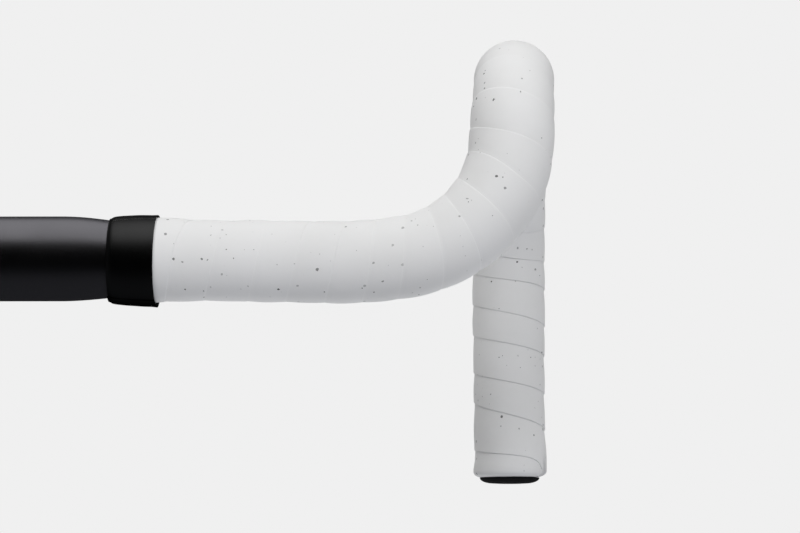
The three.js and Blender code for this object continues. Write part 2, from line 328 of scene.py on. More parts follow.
def fleck_pattern(n, cut):
    """Sparse flecks of uneven size and darkness, none of them on the tape's cut edge."""
    position = n.coordinates()
    rippled = {"Vector": position, "Scale": 900.0, "Detail": 1.0}
    wobble = n.add("ShaderNodeTexNoise", rippled).outputs["Color"]
    middle = {0: wobble, 1: (0.5, 0.5, 0.5)}
    centred = n.add("ShaderNodeVectorMath", middle, operation="SUBTRACT").outputs[0]
    scaled = {0: centred, "Scale": FLECK_WOBBLE}
    shifted = n.add("ShaderNodeVectorMath", scaled, operation="SCALE").outputs[0]
    bent = n.add("ShaderNodeVectorMath", {0: position, 1: shifted}, operation="ADD").outputs[0]
    cells = n.add("ShaderNodeTexVoronoi", {"Vector": bent, "Scale": 1 / FLECK_CELL})
    chance = n.add("ShaderNodeSeparateColor", {0: cells.outputs["Color"]})
    rank = n.maths("POWER", chance.outputs[0], 3.0)
    size = n.remap(rank, 0.0, 1.0, 0.5 * FLECK_SIZE, 1.4 * FLECK_SIZE)
    inside = n.maths("SUBTRACT", size, cells.outputs["Distance"])
    fleck = n.remap(inside, 0.0, 0.12 * FLECK_SIZE, 0.0, 1.0)
    darkness = n.remap(chance.outputs[1], 0.0, 1.0, 0.2, 0.95)
    shown = n.maths("MULTIPLY", fleck, n.maths("SUBTRACT", 1.0, cut, clamp=True))
    return n.maths("MULTIPLY", shown, darkness)


def tape_material():
    """Matt white foam tape with a fine dimpled skin and dark flecks."""
    n = Nodes("speckled_tape")
    cut = n.attribute("cut_edge")
    handled = n.noise(28.0, 3.0)
    skin = n.blend(n.remap(handled, 0.3, 0.7, 0.0, 1.0), grey(0.80, (1.0, 1.0, 0.995)), grey(0.845))
    skin = n.blend(cut, skin, grey(0.80))
    colour = n.blend(fleck_pattern(n, cut), skin, grey(0.02))
    grain = n.noise(2600.0, 2.0, 0.6)
    dimples = n.noise(420.0, 2.0, 0.5)
    normal = n.bump(dimples, 0.05 * MM, 0.5)
    normal = n.bump(grain, 0.02 * MM, 0.45, normal)
    rough = n.remap(handled, 0.3, 0.7, 0.66, 0.76)
    return n.set(colour=colour, rough=rough, normal=normal, specular=0.35)


def tube_material():
    """Black anodised aluminium, polished under the colour, with faint drawing lines and handling marks."""
    n = Nodes("anodised_tube")
    lengthwise = {"Vector": n.coordinates(), "Scale": (0.06, 1.0, 1.0)}
    stretched = n.add("ShaderNodeMapping", lengthwise).outputs[0]
    drawn = n.noise(2200.0, 2.0, 0.6, stretched)
    smudge = n.noise(45.0, 4.0, 0.6)
    colour = n.blend(n.remap(smudge, 0.35, 0.65, 0.0, 1.0), grey(0.0006), grey(0.0012, (1.0, 1.0, 1.06)))
    rough = n.remap(smudge, 0.3, 0.7, 0.34, 0.40)
    normal = n.bump(drawn, 0.004 * MM, 0.35)
    return n.set(colour=colour, rough=rough, normal=normal, ior=2.25, specular=1.0, tint=grey(1.0, VIOLET))


def vinyl_material():
    """Stretched black vinyl, with a satin sheen that dies away at grazing angles."""
    n = Nodes("vinyl_band")
    grain = n.noise(1500.0, 2.0, 0.6)
    marks = n.noise(60.0, 3.0)
    colour = n.blend(n.remap(marks, 0.35, 0.65, 0.0, 1.0), grey(0.09), grey(0.105))
    rough = n.remap(marks, 0.3, 0.7, 0.40, 0.46)
    normal = n.bump(grain, 0.01 * MM, 0.4)
    return n.set(colour=colour, rough=rough, normal=normal, metal=1.0, tint=grey(0.0))


def moulded_material(name, shade, rough_low, rough_high, spark=1100.0):
    """Moulded plastic with a spark-eroded grain and slightly worn high spots."""
    n = Nodes(name)
    grain = n.noise(spark, 2.0, 0.65)
    marks = n.noise(70.0, 3.0)
    worn = n.maths("MULTIPLY", n.remap(marks, 0.45, 0.75, 0.0, 1.0), 0.6)
    colour = n.blend(worn, grey(shade), grey(shade * 1.9))
    rough = n.remap(grain, 0.3, 0.7, rough_low, rough_high)
    normal = n.bump(grain, 0.02 * MM, 0.5)
    return n.set(colour=colour, rough=rough, normal=normal, specular=0.45)


def steel_material():
    """Zinc-plated steel with a fine turned finish and a little dulling."""
    n = Nodes("screw_steel")
    marks = n.noise(160.0, 4.0, 0.6)
    lines = n.noise(2400.0, 1.0)
    colour = n.blend(n.remap(marks, 0.4, 0.7, 0.0, 1.0), grey(0.5, (1.0, 0.99, 0.97)), grey(0.28))
    rough = n.remap(marks, 0.3, 0.7, 0.26, 0.42)
    normal = n.bump(lines, 0.005 * MM, 0.3)
    return n.set(colour=colour, rough=rough, normal=normal, metal=1.0)


# ---- Bar tube ----

TUBE_SIDES = 72
TUBE_RING_STEP = 3 * MM
END_CHAMFER = 0.35 * MM


def build_tube(material):
    """One drawn and bent tube, open at both ends, with a small chamfer on each rim."""
    half = np.append(np.arange(0, TUBE_END - END_CHAMFER, TUBE_RING_STEP), TUBE_END - END_CHAMFER)
    along = np.concatenate([-half[:0:-1], half])
    outer = [(s, tube_radius(s)) for s in along]
    inner = [(s, tube_radius(s) - tube_wall(s)) for s in along[::-1]]
    outside = tube_radius(TUBE_END)
    inside = outside - tube_wall(TUBE_END)
    rim = [(TUBE_END, outside - END_CHAMFER), (TUBE_END, inside + END_CHAMFER)]
    far_rim = [(-s, r) for s, r in reversed(rim)]
    profile = np.array(outer + rim + inner + far_rim)
    angles = np.arange(TUBE_SIDES) * TURN / TUBE_SIDES
    side = np.where(profile[:, 0] < 0, -1.0, 1.0)
    points = around(np.abs(profile[:, 0])[:, None], profile[:, 1][:, None], angles[None, :], 1.0)
    points[..., 0] *= side[:, None]
    tube = mesh_object("tube", points.reshape(-1, 3), swept_faces(len(profile), TUBE_SIDES, wrap_rows=True))
    dress(tube, "bar", "bar_tube", material)


# ---- Bar tape ----

TAPE_START = 64 * MM  # where the wound tape is trimmed, from the bar's centre
SECTIONS_PER_TURN = 60
# Where the tape's showing edge lies, as turns from the bar's end and distance from the bar's centre. It is
# wound by hand, so no two turns are alike. Whole turns are on the outer and rear side of the bar, and half
# turns on its inner and front side. Round the hook the turns are even, and past turn 30 they are trimmed off.
EDGE_MARKS = np.array([
    (0.5, 483.5), (1.0, 474.7), (1.5, 462.7), (2.0, 459.7), (2.5, 450.3), (3.0, 443.6), (3.5, 434.3),
    (4.0, 431.0), (4.5, 421.1), (5.0, 415.2), (5.5, 407.1), (6.0, 403.2), (6.5, 394.3), (7.0, 387.5),
    (17.0, 247.0), (17.5, 242.7), (17.75, 236.2), (18.0, 232.0), (18.5, 230.4), (18.64, 226.5),
    (18.8, 221.4), (19.0, 220.2), (19.5, 213.4), (19.67, 208.8), (20.0, 206.3), (20.5, 200.8),
    (20.67, 197.1), (21.0, 193.5), (21.5, 189.5), (22.0, 180.9), (22.5, 176.9), (23.0, 167.3),
    (23.5, 164.3), (24.0, 155.3), (24.5, 151.6), (25.0, 142.3), (25.5, 137.6), (26.0, 127.8),
    (26.5, 122.9), (27.0, 113.9), (27.5, 107.3), (28.0, 97.4), (28.5, 93.6), (28.75, 86.8),
    (29.0, 83.0), (29.5, 77.6), (30.0, 68.0), (34.0, 12.0),
]) * (1, MM)
MARK_EASING = 0.18  # share of a turn over which the edge eases from one mark to the next
TUCKED = 11.5 * MM  # how far past the taped end the tape reaches before it is tucked in
TUCK_EASING = 0.04  # and the same where it comes out of the bore
TUCK_SWEEP = 30 * MM  # the edge comes back out of the bore steeply, on a curve that dies away
TUCK_SWEEP_ANGLE = math.radians(12.2)
FIRST_EDGE = 6.8 * MM  # where that curve settles, before the taped end
# Distance from the centre, and the wound tape's outer radius there.
WOUND_RADIUS = np.array([
    (64, 15.7), (80, 15.85), (94, 15.15), (102, 15.0), (110, 15.05), (119, 15.25), (127, 15.1),
    (136, 15.2), (145, 15.3), (180, 15.3), (195, 15.55), (225, 16.05), (240, 16.1), (252, 15.75),
    (262, 15.35), (280, 15.55), (300, 15.35), (380, 15.25), (430, 15.15), (446, 14.85), (470, 14.8),
    (480, 15.0), (489, 15.2), (500, 15.2),
]) * MM
# Distance from the centre, and how thick the showing edge is there. It is thickest on the drop.
EDGE_STEP = np.array([
    (60, 0.22), (90, 0.16), (190, 0.16), (212, 0.26), (250, 0.24), (268, 0.14), (370, 0.14), (388, 0.42),
    (500, 0.52),
]) * MM
STEP_ABOVE = 0.75  # share of the edge's thickness that stands above the wound radius
CROWN = 0.26 * MM  # each turn is padded, so it is highest in its middle
CROWN_MEAN = 0.64  # the crown's mean height as a share of its full height
END_SWELL = 0.45 * MM  # the last turns stand out more on the outer side
SWELL_RISE = (472 * MM, 483 * MM)
SWELL_FALL = (487 * MM, 495 * MM)
EDGE_ROUND = 0.5 * MM  # the showing edge is rounded over this width
EDGE_FOOT = 0.25  # share of its height that stands straight up
HIDDEN_EDGE = 0.06 * MM  # the covered edge is this thin
HIDDEN_FADE = 0.5 * MM  # the turn above it comes down to the tube over this length
LAYER_GAP = 0.02 * MM  # between one turn and the next
LUMPS = 0.09 * MM  # how uneven the tape's thickness is
LEAST_SHOWN = 0.01 * MM
TAPE_TIP = 0.06  # share of a turn over which the tape's first end thickens
LEAST_WIDTH = 3 * MM  # the tape ends where the trim leaves less than this
COLUMNS = 29
UNDER_COLUMNS = np.arange(COLUMNS)[::-2]
# Shares of the tape's width where the columns lie, close together at the edges.
ACROSS = np.array([
    0, 0.004, 0.009, 0.016, 0.028, 0.048, 0.08, 0.12, 0.17, 0.22, 0.28, 0.34, 0.4, 0.45, 0.485, 0.51,
    0.55, 0.62, 0.72, 0.85, 1,
])
WIDTH_SAMPLES = 600
FOLD_SPAN = 9 * MM  # length of tape from the tube's end on that bends round the rim
FOLD_SHARE = 1.1  # how many more columns that length draws to itself


def eased(values, turns):
    """Running mean over a part of a turn, which keeps the ends as they are."""
    half = int(SECTIONS_PER_TURN * turns / 2)
    window = np.hanning(2 * half + 3)[1:-1]
    padded = np.concatenate([np.full(half, values[0]), values, np.full(half, values[-1])])
    return np.convolve(padded, window / window.sum(), "valid")


def winding():
    """The winding angle and the showing edge's place along the bar, for each section of the tape."""
    turns = np.arange(EDGE_MARKS[-1, 0] * SECTIONS_PER_TURN) / SECTIONS_PER_TURN
    marks = np.concatenate([[(0, TAPED_END - FIRST_EDGE)], EDGE_MARKS])
    edges = eased(np.interp(turns, marks[:, 0], marks[:, 1]), MARK_EASING)
    swept = edges + TUCK_SWEEP * np.exp(-turns * TURN / TUCK_SWEEP_ANGLE)
    tucked = np.full(SECTIONS_PER_TURN, TAPED_END + TUCKED)
    edges = eased(np.concatenate([tucked, np.minimum(swept, TAPED_END + TUCKED)]), TUCK_EASING)
    return np.concatenate([turns[:SECTIONS_PER_TURN] - 1, turns]) * TURN, edges


def column_places(edge, width):
    """The columns' distances from the showing edge, close together at both edges and round the rim."""
    q = np.linspace(0, width, WIDTH_SAMPLES)
    progress = np.interp(q / width, ACROSS, np.linspace(0, 1, len(ACROSS)))
    progress += FOLD_SHARE * np.clip((TUBE_END + FOLD_SPAN - edge + q) / FOLD_SPAN, 0, 1)
    progress -= progress[0]
    return np.interp(np.linspace(0, 1, COLUMNS), progress / progress[-1], q)


def wound_height(angle, s):
    """How high the wound tape stands above the tube, before its edges, crowns and lumps."""
    height = np.interp(s, WOUND_RADIUS[:, 0], WOUND_RADIUS[:, 1]) - tube_radius(s)
    swell = smooth(s, *SWELL_RISE) * (1 - smooth(s, *SWELL_FALL))
    return height + END_SWELL * math.cos(angle) * swell


def tape_top(share, full, step):
    """Height of the tape's top over one section.

    Share is 0 at the tape's showing edge, 0.5 at the next turn's edge and 1 at its hidden edge.
    """
    shown = full + step * (STEP_ABOVE - 2 * share) + CROWN * (np.sin(TURN * share) - CROWN_MEAN)
    sunk = full - (1 - STEP_ABOVE) * step - CROWN_MEAN * CROWN
    hidden = sunk * np.sin(math.pi * share) ** 2 + HIDDEN_EDGE
    return np.where(share < 0.5, shown, np.maximum(hidden, HIDDEN_EDGE))


def lump(angle, s):
    """Unevenness of the hand-wound tape, from about -1 to 1."""
    broad = noise.noise(Vector((angle * 0.9, s * 70, 3.7)))
    fine = noise.noise(Vector((angle * 2.3, s * 200, 9.1)))
    return broad + 0.5 * fine


def edge_rounding(q):
    """Share of the tape's thickness that is there at a distance from its showing edge."""
    rounding = np.sqrt(np.clip(1 - (1 - q / EDGE_ROUND) ** 2, 0, 1))
    return np.where(q < EDGE_ROUND, EDGE_FOOT + (1 - EDGE_FOOT) * rounding, 1.0)


def layered_heights(angles, edges):
    """Each section's places across the tape, with the heights of its underside and top above the tube."""
    count = int(np.argmax(edges < TAPE_START + LEAST_WIDTH))
    places, bottom, top = (np.zeros((count, COLUMNS)) for _ in range(3))
    for i in range(count):
        edge, next_edge = edges[i], edges[i + SECTIONS_PER_TURN]
        shown = max(edge - next_edge, LEAST_SHOWN)
        covered = next_edge - edges[i + 2 * SECTIONS_PER_TURN]
        q = column_places(edge, min(shown + covered, edge - TAPE_START))
        s = edge - q
        share = np.where(q < shown, 0.5 * q / shown, 0.5 + 0.5 * (q - shown) / covered)
        step = np.interp(s, EDGE_STEP[:, 0], EDGE_STEP[:, 1])
        lumps = LUMPS * np.array([lump(angles[i], v) for v in s]) * np.clip(4 * (1 - share), 0, 1)
        top[i] = tape_top(np.clip(share, 0, 1), wound_height(angles[i], s), step) + lumps
        before = i - SECTIONS_PER_TURN
        if before >= 0:
            under = np.interp(-s, -places[before], top[before])
            under *= 1 - smooth(places[before][-1] - s, 0, HIDDEN_FADE)
            bottom[i] = under + LAYER_GAP
        else:
            top[i] *= smooth(i, -1, TAPE_TIP * SECTIONS_PER_TURN)
        top[i] = np.maximum(top[i], bottom[i] + HIDDEN_EDGE)
        top[i] = bottom[i] + (top[i] - bottom[i]) * edge_rounding(q)
        places[i] = s
    return places, bottom, top


RIM_RADIUS = 11.05 * MM  # middle of the tube's wall, which the tape is folded over
RIM_CLEARANCE = 1.05 * MM  # from there to the tape's underside
FOLD_REACH = 2.95 * MM  # from the tube's end to the outside of the fold
TUCK_REACH = 3.5 * MM  # from the middle of the wall to the inside of the tucked tape
CORNER_FULLNESS = 0.75  # 1 would be an elliptical fold, and less fills its corners
FOLD_ARC = 2.4 * MM  # length of tape that bends through one radian round the rim
FOLD_THINNING = 0.75 * math.pi  # the fold has its inner thickness once it has bent this far
LIFT_SPAN = 2 * MM  # the tape lifts off the tube over this length before the rim
LEAST_RIM_HEIGHT = 2 * MM
TAPE_GAP = 0.05 * MM  # between the tube and the tape
BAND_END = 79.7 * MM
BAND_SQUEEZE = 0.55  # share of its height that the tape keeps at its trimmed end, under the finishing band
SQUEEZED_TO = TAPE_START - 4 * MM
SQUEEZED_FROM = BAND_END - 3 * MM
PLEATS = 13
PLEAT_DEPTH = 0.18 * MM
PLEAT_SPAN = (1.6, 3.0)  # radians of the fold over which the pleats deepen


def rim_height(places, top):
    """The height of all layers at the rim, at each of a turn's angles."""
    height = np.full(SECTIONS_PER_TURN, LEAST_RIM_HEIGHT)
    for i in range(2 * SECTIONS_PER_TURN):
        if places[i][0] > TUBE_END > places[i][-1]:
            here = np.interp(-TUBE_END, -places[i], top[i])
            height[i % SECTIONS_PER_TURN] = max(height[i % SECTIONS_PER_TURN], here)
    return height


def folded(s, height, angle, full):
    """Distance and radius of a point of the tape, bent over the tube's rim and into its bore."""
    squeezed = height * mix(BAND_SQUEEZE, 1.0, smooth(s, SQUEEZED_TO, SQUEEZED_FROM))
    past = np.maximum(s - TUBE_END, 0)
    turned = np.minimum(past / FOLD_ARC, math.pi)
    depth = height / full
    outwards = RIM_CLEARANCE + height
    inwards = RIM_CLEARANCE + depth * (TUCK_REACH - RIM_CLEARANCE)
    along = RIM_CLEARANCE + depth * (FOLD_REACH - RIM_CLEARANCE)
    ahead = np.sin(turned) ** CORNER_FULLNESS
    aside = np.sign(np.cos(turned)) * np.abs(np.cos(turned)) ** CORNER_FULLNESS
    reach = mix(outwards, inwards, smooth(turned, 0, FOLD_THINNING))
    pleat = PLEAT_DEPTH * np.sin(PLEATS * angle) * smooth(turned, *PLEAT_SPAN)
    bent_s = TUBE_END + along * ahead - np.maximum(past - math.pi * FOLD_ARC, 0)
    bent_radius = RIM_RADIUS + reach * aside + pleat
    flat_radius = tube_radius(s) + TAPE_GAP + squeezed
    lifted = mix(flat_radius, RIM_RADIUS + outwards, smooth(s, TUBE_END - LIFT_SPAN, TUBE_END))
    return np.where(s > TUBE_END, bent_s, s), np.where(s > TUBE_END, bent_radius, lifted)


def build_tape(side, name, node, material):
    """One long tape per side, wound from the bar's end to the tops in real overlapping turns."""
    angles, edges = winding()
    places, bottom, top = layered_heights(angles, edges)
    count = len(places)
    full = rim_height(places, top)[np.arange(count) % SECTIONS_PER_TURN][:, None]
    theta = (1.5 * math.pi - angles[:count])[:, None]
    s_top, r_top = folded(places, top, theta, full)
    s_low, r_low = folded(places[:, UNDER_COLUMNS], bottom[:, UNDER_COLUMNS], theta, full)
    points = around(np.concatenate([s_top, s_low], 1), np.concatenate([r_top, r_low], 1), theta, side)
    around_tape = points.shape[1]
    tape = mesh_object(name, points.reshape(-1, 3), swept_faces(count, around_tape), sharp=50)
    cut = tape.data.attributes.new("cut_edge", "FLOAT", "POINT")
    row = np.zeros(around_tape)
    row[[0, around_tape - 1]] = 1.0
    cut.data.foreach_set("value", np.tile(row, count))
    dress(tape, "bar", node, material)


# ---- Finishing band ----

BAND_START = 62.1 * MM
BAND_THICKNESS = 0.2 * MM
BAND_TURNS = 2.3
BAND_SECTIONS = 96
BAND_LAYER = 0.23 * MM  # from one layer of the strip to the next
BAND_SHARES = np.array([
    0, 0.015, 0.04, 0.08, 0.13, 0.2, 0.28, 0.37, 0.46, 0.55, 0.64, 0.73, 0.81, 0.88, 0.93, 0.97, 1,
])
# Distance from the bar's centre, and the radius that the band is stretched over there.
BAND_SEAT = np.array([
    (62.1, 14.85), (63.2, 15.5), (64.5, 15.77), (67, 16.02), (70.7, 16.23), (74, 16.41), (77, 16.45),
    (79.7, 16.38),
]) * MM
BAND_GAP = 0.1 * MM
BAND_WOBBLE = 0.1 * MM
BAND_DRIFT = 0.35 * MM  # how far the layers' edges wander from each other
BAND_OFFSET = 0.4 * MM  # the lump of trimmed tape under the band stands out more at the rear
BAND_DIP = 0.35 * MM  # how much narrower the band is on top, where it is stretched most
BAND_LIP = 0.12 * MM  # the band's outer end is lifted by the tape beside it, and more so at the rear
BAND_REAR_LIP = 0.16 * MM


def build_band(side, name, node, material):
    """A strip of black vinyl stretched round the tape's trimmed end, from under the bar to its rear."""
    count = int(BAND_TURNS * BAND_SECTIONS)
    turn = np.arange(count + 1) / BAND_SECTIONS
    theta = math.pi + turn * TURN
    drift = BAND_DRIFT * np.sin(turn * 2.1 + 0.4)
    layer = BAND_GAP + turn * BAND_LAYER
    start = BAND_START + drift
    end = BAND_END - 0.3 * drift - BAND_DIP * np.maximum(np.cos(theta), 0)
    s = start[:, None] + (end - start)[:, None] * BAND_SHARES[None, :]
    wobble = np.array([[noise.noise(Vector((t * 5.0, x * 3.0, 1.7))) for x in BAND_SHARES] for t in turn])
    rear = 0.5 - 0.5 * np.sin(theta)
    lip = smooth(BAND_SHARES, 0.86, 1.0)[None, :] * (BAND_LIP + BAND_REAR_LIP * rear[:, None])
    seat = np.interp(s, BAND_SEAT[:, 0], BAND_SEAT[:, 1])
    inner = seat + layer[:, None] + wobble * BAND_WOBBLE + lip - BAND_OFFSET * np.sin(theta)[:, None]
    low = around(s, inner, theta[:, None], side)
    high = around(s, inner + BAND_THICKNESS, theta[:, None], side)
    points = np.concatenate([high, low[:, ::-1]], 1)
    band = mesh_object(name, points.reshape(-1, 3), swept_faces(count + 1, 2 * len(BAND_SHARES)), sharp=35)
    dress(band, "bar", node, material)


# ---- Bar-end plugs ----

FLANGE_RADIUS = 12.6 * MM
FLANGE_SEAT = 3.1 * MM
FLANGE_FACE = 5.4 * MM
RIM_HEIGHT = 0.2 * MM
DOME_HEIGHT = 2.3 * MM
DOME_RIM_START = 7 * MM  # inside this radius the dome is nearly flat
SPIGOT_RADIUS = 7.1 * MM
SPIGOT_END = -9 * MM
RECESS_RADIUS = 3.9 * MM
RECESS_FLOOR = 2.6 * MM
GROOVE_INNER = 9.3 * MM  # of the fine ring turned into the cap's face
GROOVE_OUTER = 9.9 * MM
GROOVE_DEPTH = 0.3 * MM
CAP_ROUNDING = 0.22 * MM
GROOVE_ROUNDING = 0.1 * MM
SCREW_HOLE_RADIUS = 2.3 * MM
SLEEVE_START = -9.3 * MM
SLEEVE_END = -25.3 * MM
SLEEVE_BORE_RADIUS = 4.2 * MM
SLEEVE_MOUTH_START = -17 * MM
SLEEVE_MOUTH_RADIUS = 6.3 * MM
SLOT_WIDTH = 1.8 * MM
SLOT_LENGTH = 11 * MM
RIB_COUNT = 9
RIB_DEPTH = 0.35 * MM
RIBS_FROM = SLEEVE_START - 2.5 * MM
RIBS_TO = SLEEVE_END + 1.5 * MM
SLEEVE_ROUNDING = 0.08 * MM
NUT_NOSE = -18 * MM
NUT_SHOULDER = -26 * MM
NUT_END = -29 * MM
NUT_RADIUS = 6.8 * MM
NUT_CLEARANCE = 0.3 * MM  # between the nut's cone and the sleeve's mouth
NUT_ROUNDING = 0.2 * MM
KEY_WIDTH = 1.2 * MM
SCREW_TIP = -31 * MM
SCREW_HEAD_RADIUS = 3.4 * MM
SCREW_HEAD_HEIGHT = 2.0 * MM
SCREW_HEAD_LIFT = 0.3 * MM  # above the pocket's floor
SCREW_HEAD_ROUNDING = 0.35 * MM
SCREW_SHANK = 6 * MM  # the part under the head that has no thread
SCREW_RADIUS = 1.95 * MM
SCREW_AXIS_HOLE = 0.02 * MM  # the end faces are rings closed by a tiny cap
THREAD_PITCH = 0.7 * MM
THREAD_DEPTH = 0.35 * MM
THREAD_RINGS = 8
SOCKET_HALF = 1.25 * MM
SOCKET_DEPTH = 1.2 * MM
TURNED_SIDES = 72
SCREW_SIDES = 48


def rounded(profile, radius, steps=3):
    """A closed profile of (radius, distance) points with its corners rounded off."""
    profile = [np.array(p, float) for p in profile]
    out = []
    for i, corner in enumerate(profile):
        before, after = profile[i - 1] - corner, profile[(i + 1) % len(profile)] - corner
        room = min(np.linalg.norm(before), np.linalg.norm(after)) * 0.45
        cut = min(radius, room)
        a, b = corner + unit(before) * cut, corner + unit(after) * cut
        for t in np.linspace(0, 1, steps + 1):
            out.append((1 - t) ** 2 * a + 2 * t * (1 - t) * corner + t * t * b)
    return out


def lathe(name, profile):
    """A closed profile turned round the plug's own axis, which is local Z."""
    profile = np.array(profile)
    angles = np.arange(TURNED_SIDES) * TURN / TURNED_SIDES
    points = np.stack(np.broadcast_arrays(
        profile[:, 0][:, None] * np.cos(angles),
        profile[:, 0][:, None] * np.sin(angles),
        profile[:, 1][:, None],
    ), -1)
    return mesh_object(name, points.reshape(-1, 3), swept_faces(len(profile), TURNED_SIDES, wrap_rows=True))


def cut_with(target, cutter, operation="DIFFERENCE"):
    """Cuts one mesh object with another, or joins them, and removes the second."""
    tool = target.modifiers.new("tool", "BOOLEAN")
    tool.operation, tool.object, tool.solver = operation, cutter, "EXACT"
    graph = bpy.context.evaluated_depsgraph_get()
    made = bpy.data.meshes.new_from_object(target.evaluated_get(graph))
    target.modifiers.clear()
    target.data = made
    bpy.data.objects.remove(cutter)


def block(name, size, centre):
    """A box in the plug's own axes, to cut or join with."""
    work = bmesh.new()
    bmesh.ops.create_cube(work, size=1.0)
    bmesh.ops.scale(work, vec=size, verts=work.verts)
    bmesh.ops.translate(work, vec=centre, verts=work.verts)
    mesh = bpy.data.meshes.new(name)
    work.to_mesh(mesh)
    work.free()
    made = bpy.data.objects.new(name, mesh)
    bpy.context.scene.collection.objects.link(made)
    return made


def plug_frame(side):
    """The plug's own axes in the row frame: local Z runs out of the bar, from the tube's end face."""
    point, out = sample(PATH_POINT, TUBE_END), unit(sample(PATH_HEADING, TUBE_END))
    up = unit(sample(PATH_UP, TUBE_END))
    right = np.cross(up, out)
    matrix = Matrix.Identity(4)
    for k, axis in enumerate((right, up, out)):
        for row in range(3):
            matrix[row][k] = axis[row]
    for row in range(3):
        matrix[row][3] = point[row]
    return Matrix.Diagonal((side, 1, 1, 1)) @ matrix


def place(piece, matrix):
    """Moves a piece's mesh from the plug's own axes to its place, mirrored on the left."""
    piece.data.transform(matrix)
    if matrix.determinant() < 0:
        piece.data.flip_normals()
    piece.data.update()


def smooth_again(piece):
    """Smooth shading with crisp edges, after a boolean or for a lathed piece."""
    piece.data.polygons.foreach_set("use_smooth", [True] * len(piece.data.polygons))
    piece.data.set_sharp_from_angle(angle=math.radians(35))


def cap_profile():
    """The plug's cap: a domed face with a well rounded rim, a pocket for the screw, and a spigot."""
    dome = []
    for t in np.linspace(0.5 * math.pi, 0, 10):
        radius = DOME_RIM_START + (FLANGE_RADIUS - DOME_RIM_START) * math.sin(t)
        dome.append((radius, FLANGE_SEAT + RIM_HEIGHT + DOME_HEIGHT * math.cos(t)))
    return [
        (SCREW_HOLE_RADIUS, SPIGOT_END),
        (SPIGOT_RADIUS, SPIGOT_END),
        (SPIGOT_RADIUS, FLANGE_SEAT),
        (FLANGE_RADIUS, FLANGE_SEAT),
        *dome,
        (RECESS_RADIUS + 0.6 * MM, FLANGE_FACE + 0.35 * MM),
        (RECESS_RADIUS, FLANGE_FACE - 0.25 * MM),
        (RECESS_RADIUS, RECESS_FLOOR),
        (SCREW_HOLE_RADIUS, RECESS_FLOOR),
    ]


def build_cap(name, matrix, material):
    """The cap, with a fine ring in its face."""
    cap = lathe("cap_" + name, rounded(cap_profile(), CAP_ROUNDING))
    floor, above = FLANGE_FACE - GROOVE_DEPTH, FLANGE_FACE + MM
    ring = [(GROOVE_INNER, floor), (GROOVE_OUTER, floor), (GROOVE_OUTER, above), (GROOVE_INNER, above)]
    cut_with(cap, lathe("groove", rounded(ring, GROOVE_ROUNDING)))
    place(cap, matrix)
    smooth_again(cap)
    dress(cap, "plug_" + name, "plug_cap_" + name, material)


def sleeve_profile():
    """Ribs outside, and a bore with a conical mouth inside."""
    ribs = []
    for k in range(RIB_COUNT):
        top = mix(RIBS_FROM, RIBS_TO, k / RIB_COUNT)
        foot = mix(RIBS_FROM, RIBS_TO, (k + 0.5) / RIB_COUNT)
        ribs.append((SPIGOT_RADIUS, top))
        ribs.append((SPIGOT_RADIUS, mix(top, foot, 0.8)))
        ribs.append((SPIGOT_RADIUS - RIB_DEPTH, foot))
    return [
        (SLEEVE_BORE_RADIUS, SLEEVE_START),
        (SPIGOT_RADIUS - 0.1 * MM, SLEEVE_START),
        *ribs,
        (SPIGOT_RADIUS, SLEEVE_END + 1.2 * MM),
        (SPIGOT_RADIUS - 0.3 * MM, SLEEVE_END),
        (SLEEVE_MOUTH_RADIUS, SLEEVE_END),
        (SLEEVE_BORE_RADIUS, SLEEVE_MOUTH_START),
    ]


def build_sleeve(name, matrix, material):
    """The expander: four fingers between two crossed slots, which the wedge nut spreads."""
    sleeve = lathe("sleeve_" + name, rounded(sleeve_profile(), SLEEVE_ROUNDING, 2))
    for turn in (0, 0.25):
        cutter = block("slot", (4 * SPIGOT_RADIUS, SLOT_WIDTH, 2 * SLOT_LENGTH), (0, 0, SLEEVE_END))
        cutter.data.transform(Matrix.Rotation(turn * TURN, 4, "Z"))
        cut_with(sleeve, cutter)
    place(sleeve, matrix)
    smooth_again(sleeve)
    dress(sleeve, "plug_" + name, "expander_sleeve_" + name, material)


def build_nut(name, matrix, material):
    """The wedge nut: a cone that draws into the sleeve, kept from turning by two keys in its slots."""
    taper = (SLEEVE_MOUTH_RADIUS - SLEEVE_BORE_RADIUS) / (SLEEVE_MOUTH_START - SLEEVE_END)
    nose = SLEEVE_BORE_RADIUS - NUT_CLEARANCE + taper * (SLEEVE_MOUTH_START - NUT_NOSE)
    shoulder = SLEEVE_BORE_RADIUS - NUT_CLEARANCE + taper * (SLEEVE_MOUTH_START - NUT_SHOULDER)
    profile = [
        (SCREW_HOLE_RADIUS, NUT_NOSE),
        (nose, NUT_NOSE),
        (shoulder, NUT_SHOULDER),
        (NUT_RADIUS, NUT_SHOULDER),
        (NUT_RADIUS, NUT_END),
        (SCREW_HOLE_RADIUS, NUT_END),
    ]
    nut = lathe("nut_" + name, rounded(profile, NUT_ROUNDING))
    length = NUT_NOSE - NUT_SHOULDER
    inner = SCREW_HOLE_RADIUS + 0.6 * MM
    width = NUT_RADIUS - 0.1 * MM - inner
    for half in (-1, 1):
        centre = (0, half * (inner + width / 2), NUT_SHOULDER + length / 2 - 0.1 * MM)
        cut_with(nut, block("key", (KEY_WIDTH, width, length), centre), "UNION")
    place(nut, matrix)
    smooth_again(nut)
    dress(nut, "wedge_" + name, "wedge_nut_" + name, material)


